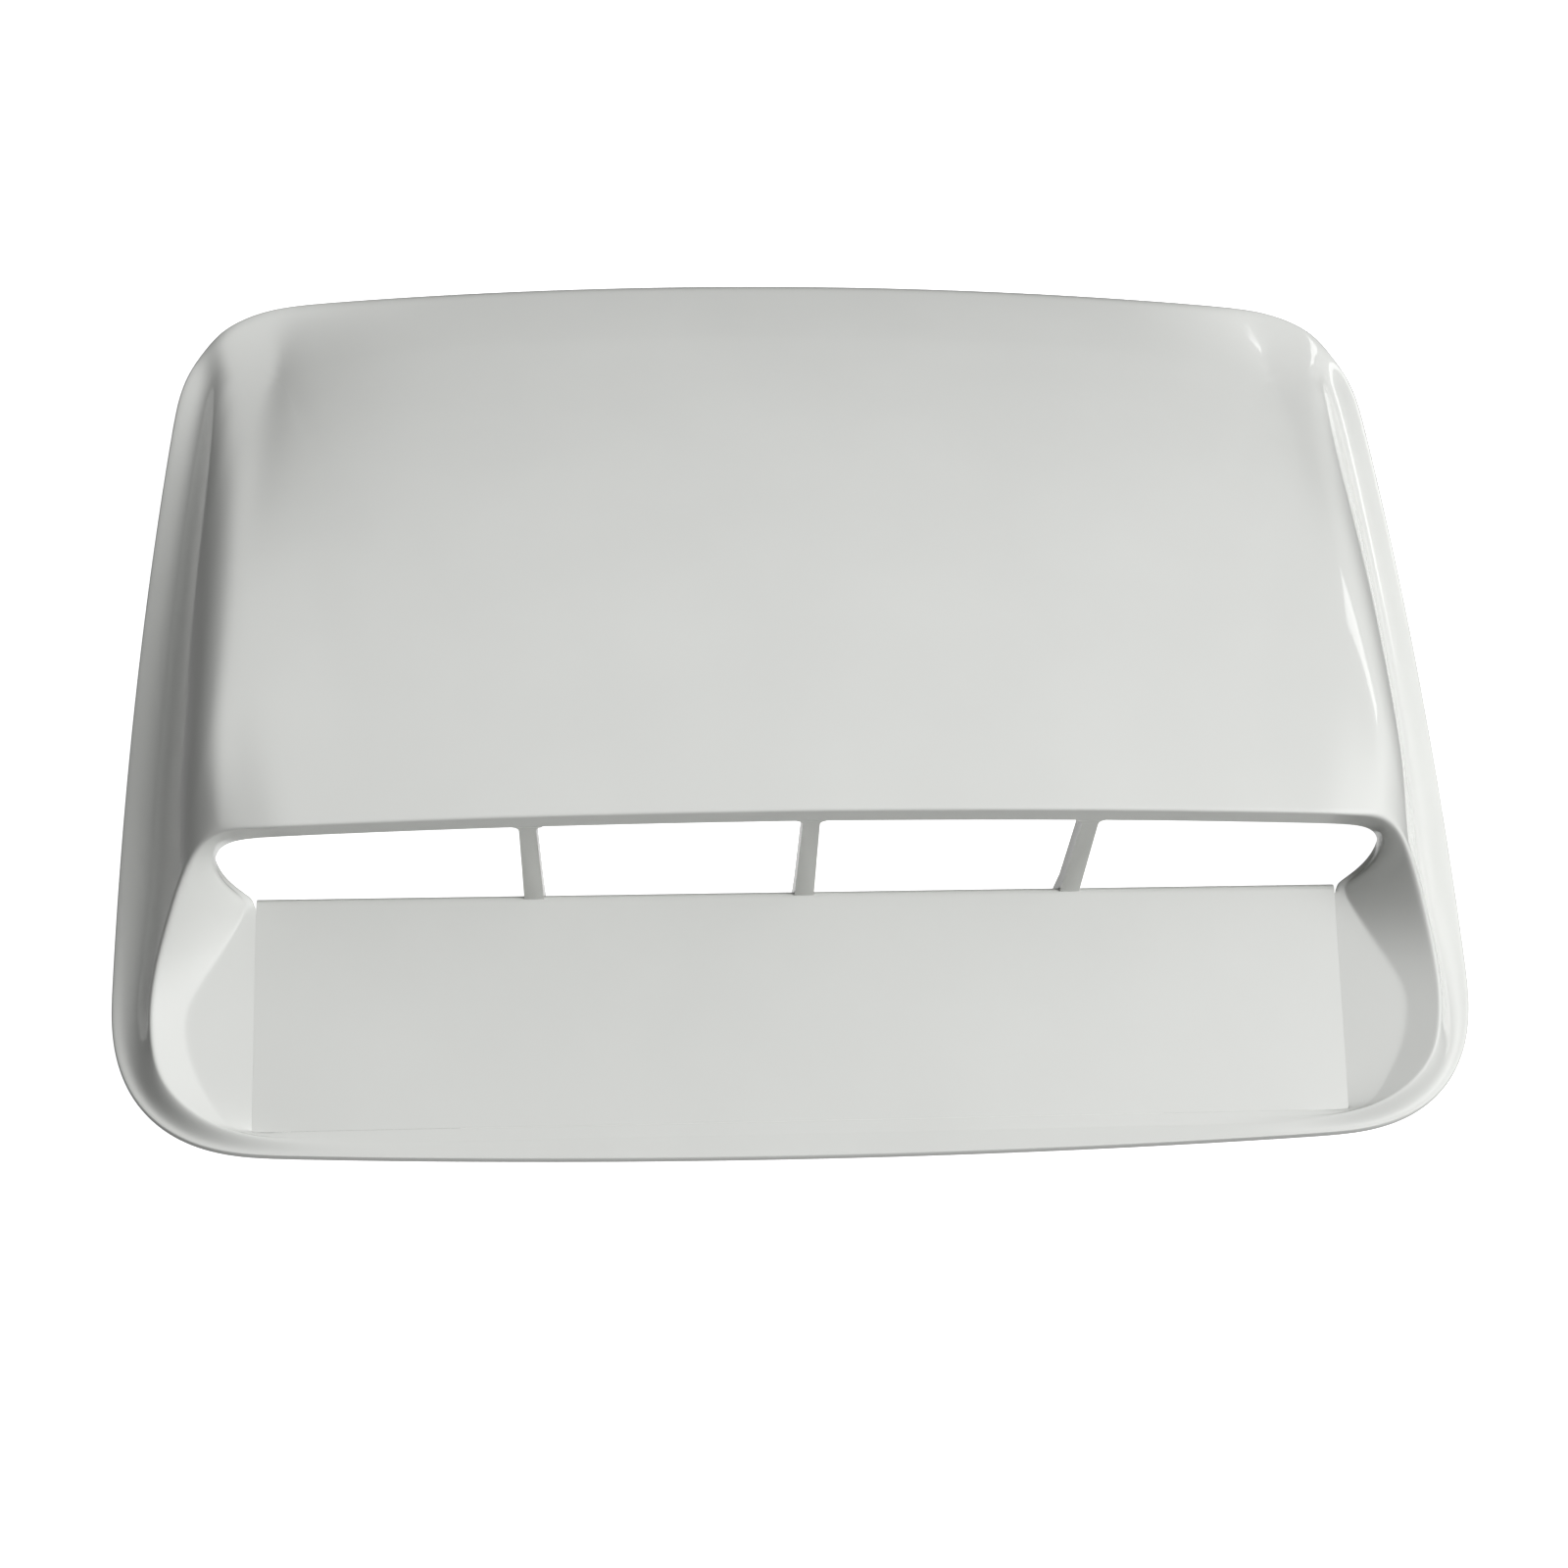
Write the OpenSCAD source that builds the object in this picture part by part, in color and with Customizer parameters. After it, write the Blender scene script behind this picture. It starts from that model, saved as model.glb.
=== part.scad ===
// Scoop-type roof vent cover: a thin moulded cowl with a bonded intake floor and three upright
// fins in its mouth, stuck down by foam tape under the flange and held by screws from below.
// Drawn with +Z up and the mouth towards -Y. The base plane z = 0 is the underside of the tape's liner.

/* [Outline] */
// Width between the front corners
width = 333.2; // [332.4:0.2:334]
// Length between the front and rear corner lines
length = 239.6; // [238.6:0.2:240.6]
// Rear width as a share of the front width
taper = 0.99; // [0.985:0.001:0.995]
// How far the sides bow out at mid length
bow_side = 4.6; // [3.5:0.1:5.5]
// How far the front edge bows forward of the corner line
bow_front = 5; // [4.5:0.1:5.5]
// How far the rear edge bows behind the corner line
bow_rear = 10.4; // [9.6:0.1:11.2]
// Size of the two front corners
corner_front = 40; // [38:0.5:42]
// Size of the two rear corners
corner_rear = 34; // [33:0.5:35]
// Corner curve exponent, 2 is a circle
corner_power = 2.6; // [2.4:0.05:2.8]

/* [Shell] */
// Thickness of the moulded skin
skin = 2.6; // [2.4:0.1:2.8]
// Height of the flange's top face
flange_top = 3.3; // [3.1:0.1:3.5]
// Height of the flange's lower outer edge
flange_low = 0.3; // [0.2:0.05:0.4]
// Height of the tape recess under the flange
recess_z = 1.3; // [1.2:0.05:1.4]
// Distance from the edge at which the side wall starts to rise
wall_start = 5; // [4.5:0.1:5.5]
// Width of the concave flare at the foot of the wall
wall_flare = 8; // [7:0.1:9]
// Slope of the side wall, rise over run
wall_slope = 2.6; // [2.4:0.05:2.8]
// Height of the crown at the lip
crown_z = 56.9; // [56:0.1:58]
// Height of the crown at the rear edge
crown_rear_z = 6; // [5.5:0.1:6.5]
// Fall of the crown from the lip to the rear, as a power of the distance
crown_power = 1.75; // [1.65:0.01:1.85]
// Drop of the crown at the ends of the lip
camber = 3.4; // [3:0.1:3.8]
// Extra roll-off of the crown towards its sides, most of it near the rear
side_roll = 5; // [4.5:0.1:5.5]
// Width of the rounded shoulder between wall and crown at its widest
shoulder = 22; // [21:0.5:23]

/* [Mouth] */
// Position of the lip behind the front corner line
lip_back = 62.45; // [62:0.05:63]
// Height of the lip's lower edge at the centre
lip_low = 50.3; // [50:0.1:51]
// Depth of the rolled bead along the lip
bead = 2.6; // [2.4:0.1:2.8]

/* [Intake floor] */
// Half width of the floor panel
floor_half = 132.5; // [132.3:0.1:132.7]
// Front edge of the floor panel
floor_front = 3.8; // [3.7:0.05:3.9]
// Rear edge of the floor panel
floor_rear = 57.9; // [57.6:0.1:58.1]
// Height of the floor panel at its front edge
floor_z = 4; // [3.9:0.05:4.1]
// Slope of the ramp in degrees
ramp_angle = 14.8; // [14.5:0.1:15]
// Depth of the turned-down hem at the rear edge
hem = 10; // [8:0.5:11]
// Gap round the floor panel
seam = 0.12; // [0.1:0.01:0.2]

/* [Fins] */
// Spacing of the three fins
fin_pitch = 65.8; // [60:0.1:68]
// Width of a fin at its top
fin_top_w = 4; // [3.6:0.1:4.4]
// Width of a fin at its foot
fin_foot_w = 4.8; // [4.4:0.1:5.2]
// Radius of the small flare where a fin meets the lip
fin_flare = 1.4; // [1:0.1:1.8]

/* [Tape] */
// Distance from the flange's edge to the tape
tape_inset = 2.2; // [2:0.1:2.4]
// Width of the foam tape
tape_w = 6; // [5:0.5:6]
// Thickness of the release liner
liner_t = 0.2; // [0.1:0.05:0.25]

/* [Fixing points] */
// Distance of the screw axes from the centre line
screw_x = 146.5; // [146.2:0.1:146.8]
// Position of the front screws from the part's centre
screw_front_y = -93; // [-94:0.5:-92]
// Position of the rear screws from the part's centre
screw_rear_y = 77; // [72:0.5:80]
// Radius of the threaded hole, for an M4 screw
insert_hole_r = 1.65; // [1.6:0.01:1.7]
// Outside radius of a threaded insert
insert_r = 2.8; // [2.6:0.1:3]
// Length of a threaded insert
insert_len = 5.5; // [5:0.1:5.5]

/* [Hidden] */

white = [0.86, 0.87, 0.85];
half = width / 2;
// moves the front corner line so that the outline is centred on the origin
shift_y = -(length + bow_rear - bow_front) / 2;
// inset at which the flange, flare, wall and shoulder rows give way to the crown rows
wall_depth = 30;
// distance from the centre line at which the lip's camber is measured
lip_half = 131;
// and at which the roll-off of the crown stops, well inside the shoulder
roll_end = 139;
// the roll-off follows u^4 (1 - u) from the lip to the rear, which this scales to peak at 1
roll_scale = 12.2;
// how much farther forward and how much lower the lip's curve runs at full width
lip_bow = 2;
lip_droop = 5.4;
// the shoulder's width follows c^1.3 (66 - c) for a crown c high, which this scales to peak at 1
shoulder_power = 1.3;
shoulder_top = 66;
shoulder_scale = 3160;
// how much sooner the wall rises at the rear, and where this starts and ends before the corner line
rear_rise = 10.5;
rear_rise_from = 26;
rear_rise_to = 2;
// rows of the underside this close to the flange's edge lie flat on the tape
flat_depth = 8.5;
// slope of the triangular facet beside the floor
facet_slope = 0.13;
ramp_slope = tan(ramp_angle);

// ---- small helpers ----
function clamp01(v) = min(max(v, 0), 1);
function smooth(a, b, v) = let (u = clamp01((v - a) / (b - a))) u * u * (3 - 2 * u);
function mix(a, b, u) = a * (1 - u) + b * u;
function unit(v) = v / norm(v);
function flip_x(p) = [-p[0], for (i = [1:len(p) - 1]) p[i]];

// ---- outline of the flange, seen from above ----
function half_w(y) = let (u = clamp01(y / length))
    half * (1 + (taper - 1) * u) + bow_side * 4 * u * (1 - u);
function front_y(x) = -bow_front * (1 - pow(clamp01(abs(x) / half), 2));
function rear_y(x) = length + bow_rear * (1 - pow(clamp01(abs(x) / half), 2));
function squircle(a) = [for (v = [cos(a), sin(a)]) pow(max(v, 0), 2 / corner_power)];
// e runs 0-1 along the front, 1-2 round the front corner, 2-3 up the side, 3-4 round the rear
// corner and 4-5 back to the centre of the rear edge
function outline(e) =
    e < 0 ? flip_x(outline(-e)) :
    e > 5 ? flip_x(outline(10 - e)) :
    e < 1 ? let (x = e * (half - corner_front)) [x, front_y(x)] :
    e < 2 ? let (q = squircle(90 * (e - 1)),
                 dy = corner_front * (1 - q[0]),
                 x = half_w(dy) - corner_front * (1 - q[1])) [x, front_y(x) + dy] :
    e < 3 ? let (y = corner_front + (e - 2) * (length - corner_rear - corner_front)) [half_w(y), y] :
    e < 4 ? let (q = squircle(90 * (e - 3)),
                 dy = corner_rear * (1 - q[1]),
                 x = half_w(length - dy) - corner_rear * (1 - q[0])) [x, rear_y(x) - dy] :
    let (x = (5 - e) * (half_w(length) - corner_rear)) [x, rear_y(x)];
// the outline moved in by d
function inset(e, d) = let (p = outline(e), t = unit(outline(e + 0.01) - outline(e - 0.01)))
    [p[0] - t[1] * d, p[1] + t[0] * d];
// distance of a plan point from the outline
function edge_dist(x, y) = let (
        front = y < length / 2,
        r = front ? corner_front : corner_rear,
        qx = abs(x) - half_w(y) + r,
        qy = (front ? front_y(x) - y : y - rear_y(x)) + r)
    r - (qx > 0 && qy > 0 ? pow(pow(qx, corner_power) + pow(qy, corner_power), 1 / corner_power)
                          : max(qx, qy));

// ---- height of the outer surface ----
function wall_z(d) = let (s = clamp01((d - wall_start) / wall_flare))
    flange_top + wall_slope * (wall_flare * (pow(s, 3) - pow(s, 4) / 2)
                               + max(d - wall_start - wall_flare, 0));
function crown_at(x, y) = let (
        u = clamp01((y - lip_back) / (rear_y(x) - lip_back)),
        z = crown_z - (crown_z - crown_rear_z) * pow(u, crown_power))
    z - camber * pow(x / lip_half, 2) * z / crown_z
      - side_roll * roll_scale * pow(u, 4) * (1 - u) * pow(min(abs(x), roll_end) / lip_half, 8);
// the lower of two heights, rounded where they meet
function soft_min(a, b, k) = let (h = max(k - abs(a - b), 0) / k) min(a, b) - h * h * k / 4;
// the shoulder is widest behind mid length, where the crown is 37 mm high, and narrows both ways
function shoulder_share(c) = pow(c, shoulder_power) * (shoulder_top - c) / shoulder_scale;
// towards the rear the wall rises sooner, so that the flange narrows to nothing under the crown
function dome_z(x, y) = let (
        c = crown_at(x, y),
        rise = rear_rise * smooth(length - rear_rise_from, length - rear_rise_to, y))
    soft_min(wall_z(edge_dist(x, y) + rise), c, shoulder * shoulder_share(c));
function ramp_z(y) = floor_z + (y - floor_front) * ramp_slope;
function lip_y(x) = lip_back - lip_bow * pow(x / half, 2);
function lip_z(x) = lip_low - lip_droop * pow(x / half, 2);

// ---- stations of the mouth, from the centre of the front round to the centre of the lip ----
// each is [outline position, rim, crease, inner edge]; only the right half is given
function on_floor(x, y) = [x, y, ramp_z(y)];
function on_facet(x, y) = [x, y, ramp_z(y) + facet_slope * (x - floor_half)];
function front_station(e, x) = [e, [x, 0.8, flange_top], [x, 2.2, 3.65], on_floor(x, floor_front)];
function side_station(e, rim, crease, inner_y) = [e, rim, crease, on_floor(floor_half, inner_y)];
function lip_station(e, x) = [e, [x, lip_y(x) - 0.1, dome_z(x, lip_y(x) - 0.1)],
                              [x, lip_y(x), lip_z(x)], [x, lip_y(x) + bead, lip_z(x) + 0.1]];
stations = [
    front_station(0, 0), front_station(0.33, 42), front_station(0.62, 80), front_station(0.84, 105),
    // front corner: a low ridge rises out of the flange
    [1.02, [126, 1.5, 4.3], [122.6, 2.4, 4], on_floor(119, floor_front)],
    side_station(1.24, [139.6, 3.9, 6.4], [136.7, 2.6, 5.1], floor_front),
    side_station(1.44, [148.6, 9.4, 9.3], [141.6, 9.9, 7], 8.6),
    side_station(1.64, [153.6, 15.4, 11.7], [145.6, 16.2, 9], 15),
    side_station(1.84, [155.5, 22.2, 13.6], [147.9, 23.6, 11.3], 22),
    // side of the mouth: the rim climbs and the crease runs in to the corner of the floor
    side_station(2, [156.2, 29.4, 15.6], on_facet(148.4, 30.8), 29),
    side_station(2.06, [155.6, 36.4, 18.2], on_facet(145.2, 37), 36),
    side_station(2.11, [153.8, 42.6, 22.2], on_facet(141.4, 43.2), 43),
    side_station(2.155, [151, 48.2, 28], on_facet(137.9, 49.4), 49.5),
    side_station(2.195, [148.2, 53.2, 34], on_facet(134.9, 54.8), 55),
    // rounded end of the air slot
    [2.23, [145.4, 57.2, 38.8], [134.7, 57.2, 19.4], [133, 58, 18]],
    [2.265, [142.6, 60, 42.8], [137.9, 58.4, 23], [136.8, 59.8, 20.8]],
    [2.3, [139.4, 61.5, 46.4], [140.4, 60.6, 27.2], [140, 62.2, 25]],
    [2.34, [135.8, 62, 49.2], [140.4, 63, 32.2], [141.2, 65.2, 30.8]],
    [2.39, [132, 61.9, 51.2], [137.2, 63.6, 38], [138.8, 66.2, 37.2]],
    [2.45, [127.6, 61.5, 52.4], [131.6, 62.9, 42.8], [132.6, 65.6, 42.6]],
    // the lip; the outline position runs on round the rear corner
    lip_station(2.55, 122.5), lip_station(2.68, 116), lip_station(2.86, 109), lip_station(3.1, 101),
    lip_station(3.36, 93), lip_station(3.62, 85), lip_station(3.88, 76), lip_station(4.2, 62),
    lip_station(4.6, 32), lip_station(5, 0)];
last = len(stations) - 1;
// stations from which the inner edge leaves the straight side of the floor
slot_start = 13.5;

// station values at any position t, straight between stations or as a cubic B-spline
function value(k, c) = k < 0 ? 2 * value(0, c) - value(1, c) :
    k > last ? 2 * value(last, c) - value(last - 1, c) : stations[k][c];
function straight(c, t) = let (k = min(floor(t), last - 1)) mix(value(k, c), value(k + 1, c), t - k);
function spline(c, t) = let (k = min(floor(t), last - 1), u = t - k, v = 1 - u)
    (pow(v, 3) * value(k - 1, c) + (3 * pow(u, 3) - 6 * u * u + 4) * value(k, c)
     + (3 * pow(v, 3) - 6 * v * v + 4) * value(k + 1, c) + pow(u, 3) * value(k + 2, c)) / 6;
// t may run past either end of the right half, on to the mirrored left half
function on_left(t) = t < 0 || t > last;
function half_t(t) = t < 0 ? -t : t > last ? 2 * last - t : t;
function edge_at(t) = min(max(spline(0, half_t(t)), 0), 5);
function rim(t) = on_left(t) ? flip_x(spline(1, half_t(t))) : spline(1, t);
function crease(t) = on_left(t) ? flip_x(spline(2, half_t(t))) : spline(2, t);
function inner_edge(t) = on_left(t) ? flip_x(inner_edge(half_t(t))) :
    mix(straight(3, t), spline(3, t), clamp01(t - slot_start));
function flange_point(t, d, z) = let (p = inset(edge_at(t), d))
    on_left(t) ? [-p[0], p[1], z] : [p[0], p[1], z];

// ---- skin surfaces ----
// point of the dome: a is the share of the way from edge to rim beside the mouth; b is the inset
// behind the mouth, in mm up to wall_depth and then 0-1 on to the lip
function dome(t, a, b) = on_left(t) ? flip_x(dome(half_t(t), a, b)) : let (
        e = edge_at(t), r = spline(1, t), plan = [r[0], r[1]],
        beside = mix(outline(e), plan, a),
        f = clamp01(b - wall_depth),
        behind = mix(inset(e, min(b, wall_depth)), plan, f),
        m = smooth(14, 21, t),
        p = mix(beside, behind, m))
    [p[0], p[1], dome_z(p[0], p[1])
                 + (r[2] - dome_z(r[0], r[1])) * smooth(0.2, 1, mix(a, f, m))];
// point of the mouth: f is 0 at the rim, 1 at the crease and 2 at the inner edge
function mouth(t, f) = f <= 1 ? mix(rim(t), crease(t), f) : mix(crease(t), inner_edge(t), f - 1);
function upward(v) = v[2] < 0 ? -v : v;
function dome_normal(t, a, b) = upward(unit(cross(
    dome(t + 0.05, a, b) - dome(t - 0.05, a, b),
    dome(t, min(a + 0.02, 1), min(b + (b < wall_depth - 0.5 ? 0.5 : 0.02), wall_depth + 1))
    - dome(t, max(a - 0.02, 0), max(b - (b < wall_depth - 0.5 ? 0.5 : 0.02), 0)))));
function mouth_normal(t, f0, f1) = let (f = (f0 + f1) / 2)
    unit(cross(mouth(t + 0.05, f) - mouth(t - 0.05, f), mouth(t, f1) - mouth(t, f0)));

// ---- rows of points from the flange's edge, over the skin and back underneath ----
outer_rows = [[0.1, 2.5], [0.2, 4.5], [0.29, 6.5], [0.37, 8.5], [0.44, 11], [0.51, 14], [0.57, 17.5],
    [0.63, 20.5], [0.69, 24], [0.74, 27], [0.79, wall_depth], [0.83, wall_depth + 0.2],
    [0.865, wall_depth + 0.42], [0.895, wall_depth + 0.66], [0.92, wall_depth + 0.88],
    [0.94, wall_depth + 0.975]];
mouth_rows = [0, 0.14, 0.38, 0.66, 0.9, 1, 1.14, 1.55, 2];
under_rows = [[0.74, wall_depth + 0.965], [0.71, wall_depth + 0.82], [0.675, wall_depth + 0.6],
    [0.64, wall_depth + 0.36], [0.605, wall_depth + 0.14], [0.565, 28], [0.525, 24], [0.48, 20.5],
    [0.435, 17], [0.385, 13.5], [0.33, 10.6], [0.27, 8.4], [0.2, 6.2]];
// near the front, where the skin is nearly level, its thickness is measured straight down
function down(t, n) = unit(mix([0, 0, 1], n, smooth(5, 8, half_t(t))));
// the underside starts this far in from the flange's edge
under_start = 2;
function above_recess(p) = [p[0], p[1], max(p[2], recess_z)];
function under_dome(t, r) = let (
        q = half_t(t), e = outline(edge_at(q)), p = rim(q),
        a = mix(under_start / norm([p[0] - e[0], p[1] - e[1]]), 1, r[0]),
        under = dome(t, a, r[1]) - skin * down(t, dome_normal(t, a, r[1])))
    r[1] < flat_depth ? [under[0], under[1], recess_z] : above_recess(under);
function under_mouth(t, f, n) = mouth(t, f) - skin * down(t, n);
function under_lip_rows(t) = let (
        back = under_mouth(t, 2, mouth_normal(t, 1.8, 2)),
        start = under_dome(t, under_rows[0]),
        lip_part = smooth(13, 15.8, half_t(t)))
    [above_recess(back),
     above_recess(mix(under_mouth(t, 1, unit(mouth_normal(t, 0.7, 0.9) + mouth_normal(t, 1.2, 1.4))),
                      mix(back, start, 1 / 3), lip_part)),
     above_recess(mix(under_mouth(t, 0.45, mouth_normal(t, 0.35, 0.55)),
                      mix(back, start, 2 / 3), lip_part))];
function column(t) = let (top = dome(t, 0, 0)[2]) concat(
    [flange_point(t, 0, flange_low), flange_point(t, 0, top - 1.2), flange_point(t, 0.35, top - 0.3)],
    [for (r = outer_rows) dome(t, r[0], r[1])],
    [for (f = mouth_rows) mouth(t, f)],
    under_lip_rows(t),
    [for (r = under_rows) under_dome(t, r)],
    [flange_point(t, 1.75, recess_z), flange_point(t, 1.6, flange_low)]);
// two or three columns between stations, one along the straight front
function steps(k) = k == 2 || k == 3 ? 1 : k == 24 || k == 25 || k > 26 ? 3 : 2;
half_columns = [for (k = [0:last - 1]) for (i = [0:steps(k) - 1]) k + i / steps(k)];
columns = concat(half_columns, [last],
    [for (i = [len(half_columns) - 1:-1:1]) 2 * last - half_columns[i]]);

module placed() { translate([0, shift_y, 0]) children(); }

// closed ring of columns joined into one skin of even thickness
module cover_shell() {
    net = [for (t = columns) column(t)];
    n = len(net);
    m = len(net[0]);
    function at(i, j) = (i % n) * m + j % m;
    color(white) placed() polyhedron(
        points = [for (c = net) for (p = c) p],
        faces = [for (i = [0:n - 1]) for (j = [0:m - 1]) each [
            [at(i, j), at(i, j + 1), at(i + 1, j + 1)],
            [at(i, j), at(i + 1, j + 1), at(i + 1, j)]]],
        convexity = 10);
}

// extrudes an outline drawn in the YZ plane from x0 to x1
module along_x(x0, x1) {
    translate([x0, 0, 0]) rotate([90, 0, 90]) linear_extrude(x1 - x0) children();
}

// sloping panel with a turned-down rear hem, bonding wings at the sides and ribs below
module intake_floor() {
    side = floor_half - seam;
    under = skin / cos(ramp_angle);
    front = floor_front + seam;
    edge_r = 1.4;
    // centre of the rounded rear edge, placed so that the arc runs tangent into the ramp
    edge_z = ramp_z(floor_rear - edge_r) - edge_r / cos(ramp_angle);
    wing_w = 8;
    rib_t = 1.8;
    color(white) placed() {
        along_x(-side, side) polygon(concat(
            [[front, ramp_z(front)]],
            [for (a = [90 + ramp_angle:-(90 + ramp_angle) / 6:0])
                [floor_rear - edge_r + edge_r * cos(a), edge_z + edge_r * sin(a)]],
            [[floor_rear, ramp_z(floor_rear) - hem], [floor_rear - skin, ramp_z(floor_rear) - hem],
             [floor_rear - skin, ramp_z(floor_rear - skin) - under],
             [front + skin * sin(ramp_angle), ramp_z(front + skin * sin(ramp_angle)) - under]]));
        for (s = [-1, 1]) {
            for (wing = [[side - wing_w, side, 0.3], [side - 1, side + wing_w, -0.15]])
                along_x(min(s * wing[0], s * wing[1]), max(s * wing[0], s * wing[1]))
                    polygon([for (c = [[16, 0], [50, 0], [50, -2], [16, -2]])
                        [c[0], ramp_z(c[0]) - under + (c[1] == 0 ? wing[2] : c[1])]]);
            for (x = [fin_pitch / 2, fin_pitch * 3 / 2])
                along_x(s * x - rib_t / 2, s * x + rib_t / 2)
                    polygon([[24, ramp_z(24) - under + 0.5], [floor_rear - 1, ramp_z(floor_rear) - under],
                             [floor_rear - 1, ramp_z(floor_rear) - hem], [24, ramp_z(24) - under - 0.5]]);
        }
    }
}

// upright blade: its foot hooks over the hem and its head passes up behind the lip's bead
module fin(x) {
    gap = 0.08;
    foot_y = floor_rear - 1.3;
    back_y = floor_rear + 2.9;
    top_y = lip_y(x);
    top_z = lip_z(abs(x) + fin_foot_w) - gap;
    head_y = top_y + bead + 0.15;
    head_d = 2.6;
    blade = [[foot_y, ramp_z(foot_y) + gap], [top_y, top_z], [head_y, top_z], [head_y, top_z + 2.4],
        [head_y + head_d, top_z + 2.4], [head_y + head_d, top_z - 4], [head_y, top_z - 7],
        [back_y, ramp_z(floor_rear) + 1], [back_y, ramp_z(floor_rear) - hem + 1.5],
        [floor_rear + gap, ramp_z(floor_rear) - hem + 1.5],
        [floor_rear + gap, ramp_z(floor_rear) + gap]];
    flare = [for (a = [0:15:90]) [fin_top_w / 2 + fin_flare * (1 - cos(a)),
                                  top_z - fin_flare * (1 - sin(a))]];
    right = concat([[fin_foot_w / 2, -1], [fin_foot_w / 2, ramp_z(foot_y)]], flare,
                   [[fin_top_w / 2 + fin_flare, top_z + 0.01], [fin_top_w / 2, top_z + 0.01],
                    [fin_top_w / 2, top_z + 4]]);
    left = [for (i = [len(right) - 1:-1:0]) flip_x(right[i])];
    color(white) placed() intersection() {
        along_x(x - fin_foot_w, x + fin_foot_w) polygon(blade);
        translate([x, lip_back + 20, 0]) rotate([90, 0, 0]) linear_extrude(40)
            polygon(concat(right, left));
    }
}

// strip that follows the flange between two outline positions
module flange_strip(e0, e1, inner, outer, z, t) {
    n = 26;
    es = [for (i = [0:n]) e0 + (e1 - e0) * i / n];
    translate([0, 0, z]) linear_extrude(t) polygon(concat(
        [for (e = es) inset(e, outer)], [for (i = [n:-1:0]) inset(es[i], inner)]));
}
// each strip's outline positions; the sides take in the corners
strip_front = [-0.98, 0.98];
strip_side = [1.01, 3.99];
strip_rear = [4.03, 5.97];
module tape(span) {
    color([0.16, 0.16, 0.17]) placed()
        flange_strip(span[0], span[1], tape_inset + tape_w, tape_inset, liner_t, recess_z - liner_t);
}
module liner(span) {
    color([0.75, 0.12, 0.1]) placed()
        flange_strip(span[0], span[1], tape_inset + tape_w, tape_inset, 0, liner_t);
}

// glued-in block that carries a threaded insert; it tucks against the inside of the side wall
module mount_block(y, profile, side_x) {
    block_len = 14;
    mirror([side_x < 0 ? 1 : 0, 0, 0]) color([0.8, 0.8, 0.78]) difference() {
        translate([0, y + block_len / 2, 0]) rotate([90, 0, 0]) linear_extrude(block_len)
            polygon(profile);
        translate([screw_x, y, flange_low - 1])
            cylinder(r = insert_r, h = insert_len + 1, $fn = 48);
    }
}
front_profile = [[141.5, flange_low], [152, flange_low], [152, 8.8], [141.5, 6.8]];
rear_profile = [[141, flange_low], [156.8, flange_low], [155.6, 3.6], [154.2, 5.5], [152.8, 7.6],
                [152.1, 8.6], [141, 8.6]];

// brass insert with two knurled bands, open at both ends
module threaded_inserts() {
    groove = 0.4;
    wall_profile = [[insert_hole_r, 0], [insert_r - 0.2, 0], [insert_r - 0.2, 0.4], [insert_r, 0.6],
        [insert_r, 2.2], [insert_r - groove, 2.5], [insert_r - groove, 3.1], [insert_r, 3.4],
        [insert_r, insert_len - 0.5], [insert_r - groove, insert_len], [insert_hole_r, insert_len]];
    color([0.8, 0.62, 0.3]) for (x = [-screw_x, screw_x], y = [screw_front_y, screw_rear_y])
        translate([x, y, flange_low]) rotate_extrude($fn = 48) polygon(wall_profile);
}

cover_shell();
intake_floor();
fin(-fin_pitch);  // fin_left
fin(0);  // fin_center
fin(fin_pitch);  // fin_right
tape(strip_front);  // tape_front
tape(strip_rear);  // tape_rear
mirror([1, 0, 0]) tape(strip_side);  // tape_left
tape(strip_side);  // tape_right
liner(strip_front);  // liner_front
liner(strip_rear);  // liner_rear
mirror([1, 0, 0]) liner(strip_side);  // liner_left
liner(strip_side);  // liner_right
mount_block(screw_front_y, front_profile, -1);  // mount_block_front_left
mount_block(screw_front_y, front_profile, 1);  // mount_block_front_right
mount_block(screw_rear_y, rear_profile, -1);  // mount_block_rear_left
mount_block(screw_rear_y, rear_profile, 1);  // mount_block_rear_right
threaded_inserts();
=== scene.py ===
"""Roof vent cover, scoop type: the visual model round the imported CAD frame.

Metres, +Z up, mouth to -Y. The shape functions work in millimetres, as the CAD does.
"""
import math

import bmesh
import bpy
from mathutils import Matrix, Vector


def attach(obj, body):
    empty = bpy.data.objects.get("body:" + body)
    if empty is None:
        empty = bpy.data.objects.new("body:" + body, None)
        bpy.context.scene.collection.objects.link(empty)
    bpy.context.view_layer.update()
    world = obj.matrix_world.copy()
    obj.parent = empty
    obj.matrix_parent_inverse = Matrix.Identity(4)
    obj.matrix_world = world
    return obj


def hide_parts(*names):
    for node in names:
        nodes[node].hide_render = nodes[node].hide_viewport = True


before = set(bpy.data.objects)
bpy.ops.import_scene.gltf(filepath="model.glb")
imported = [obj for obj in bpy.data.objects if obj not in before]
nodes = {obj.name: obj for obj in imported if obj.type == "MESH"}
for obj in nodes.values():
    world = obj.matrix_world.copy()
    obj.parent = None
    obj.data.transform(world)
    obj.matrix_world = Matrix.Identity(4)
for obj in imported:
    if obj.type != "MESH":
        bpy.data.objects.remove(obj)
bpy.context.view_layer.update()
MM = 0.001

# ------------------------------------------------------------------ shape of the cover, in mm
# outline of the flange: size, bow of each edge and corners
WIDTH, LENGTH, TAPER = 333.2, 239.6, 0.99
HALF = WIDTH / 2
BOW_SIDE, BOW_FRONT, BOW_REAR = 4.6, 5.0, 10.4
CORNER_FRONT, CORNER_REAR, CORNER_POWER = 40.0, 34.0, 2.6
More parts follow.
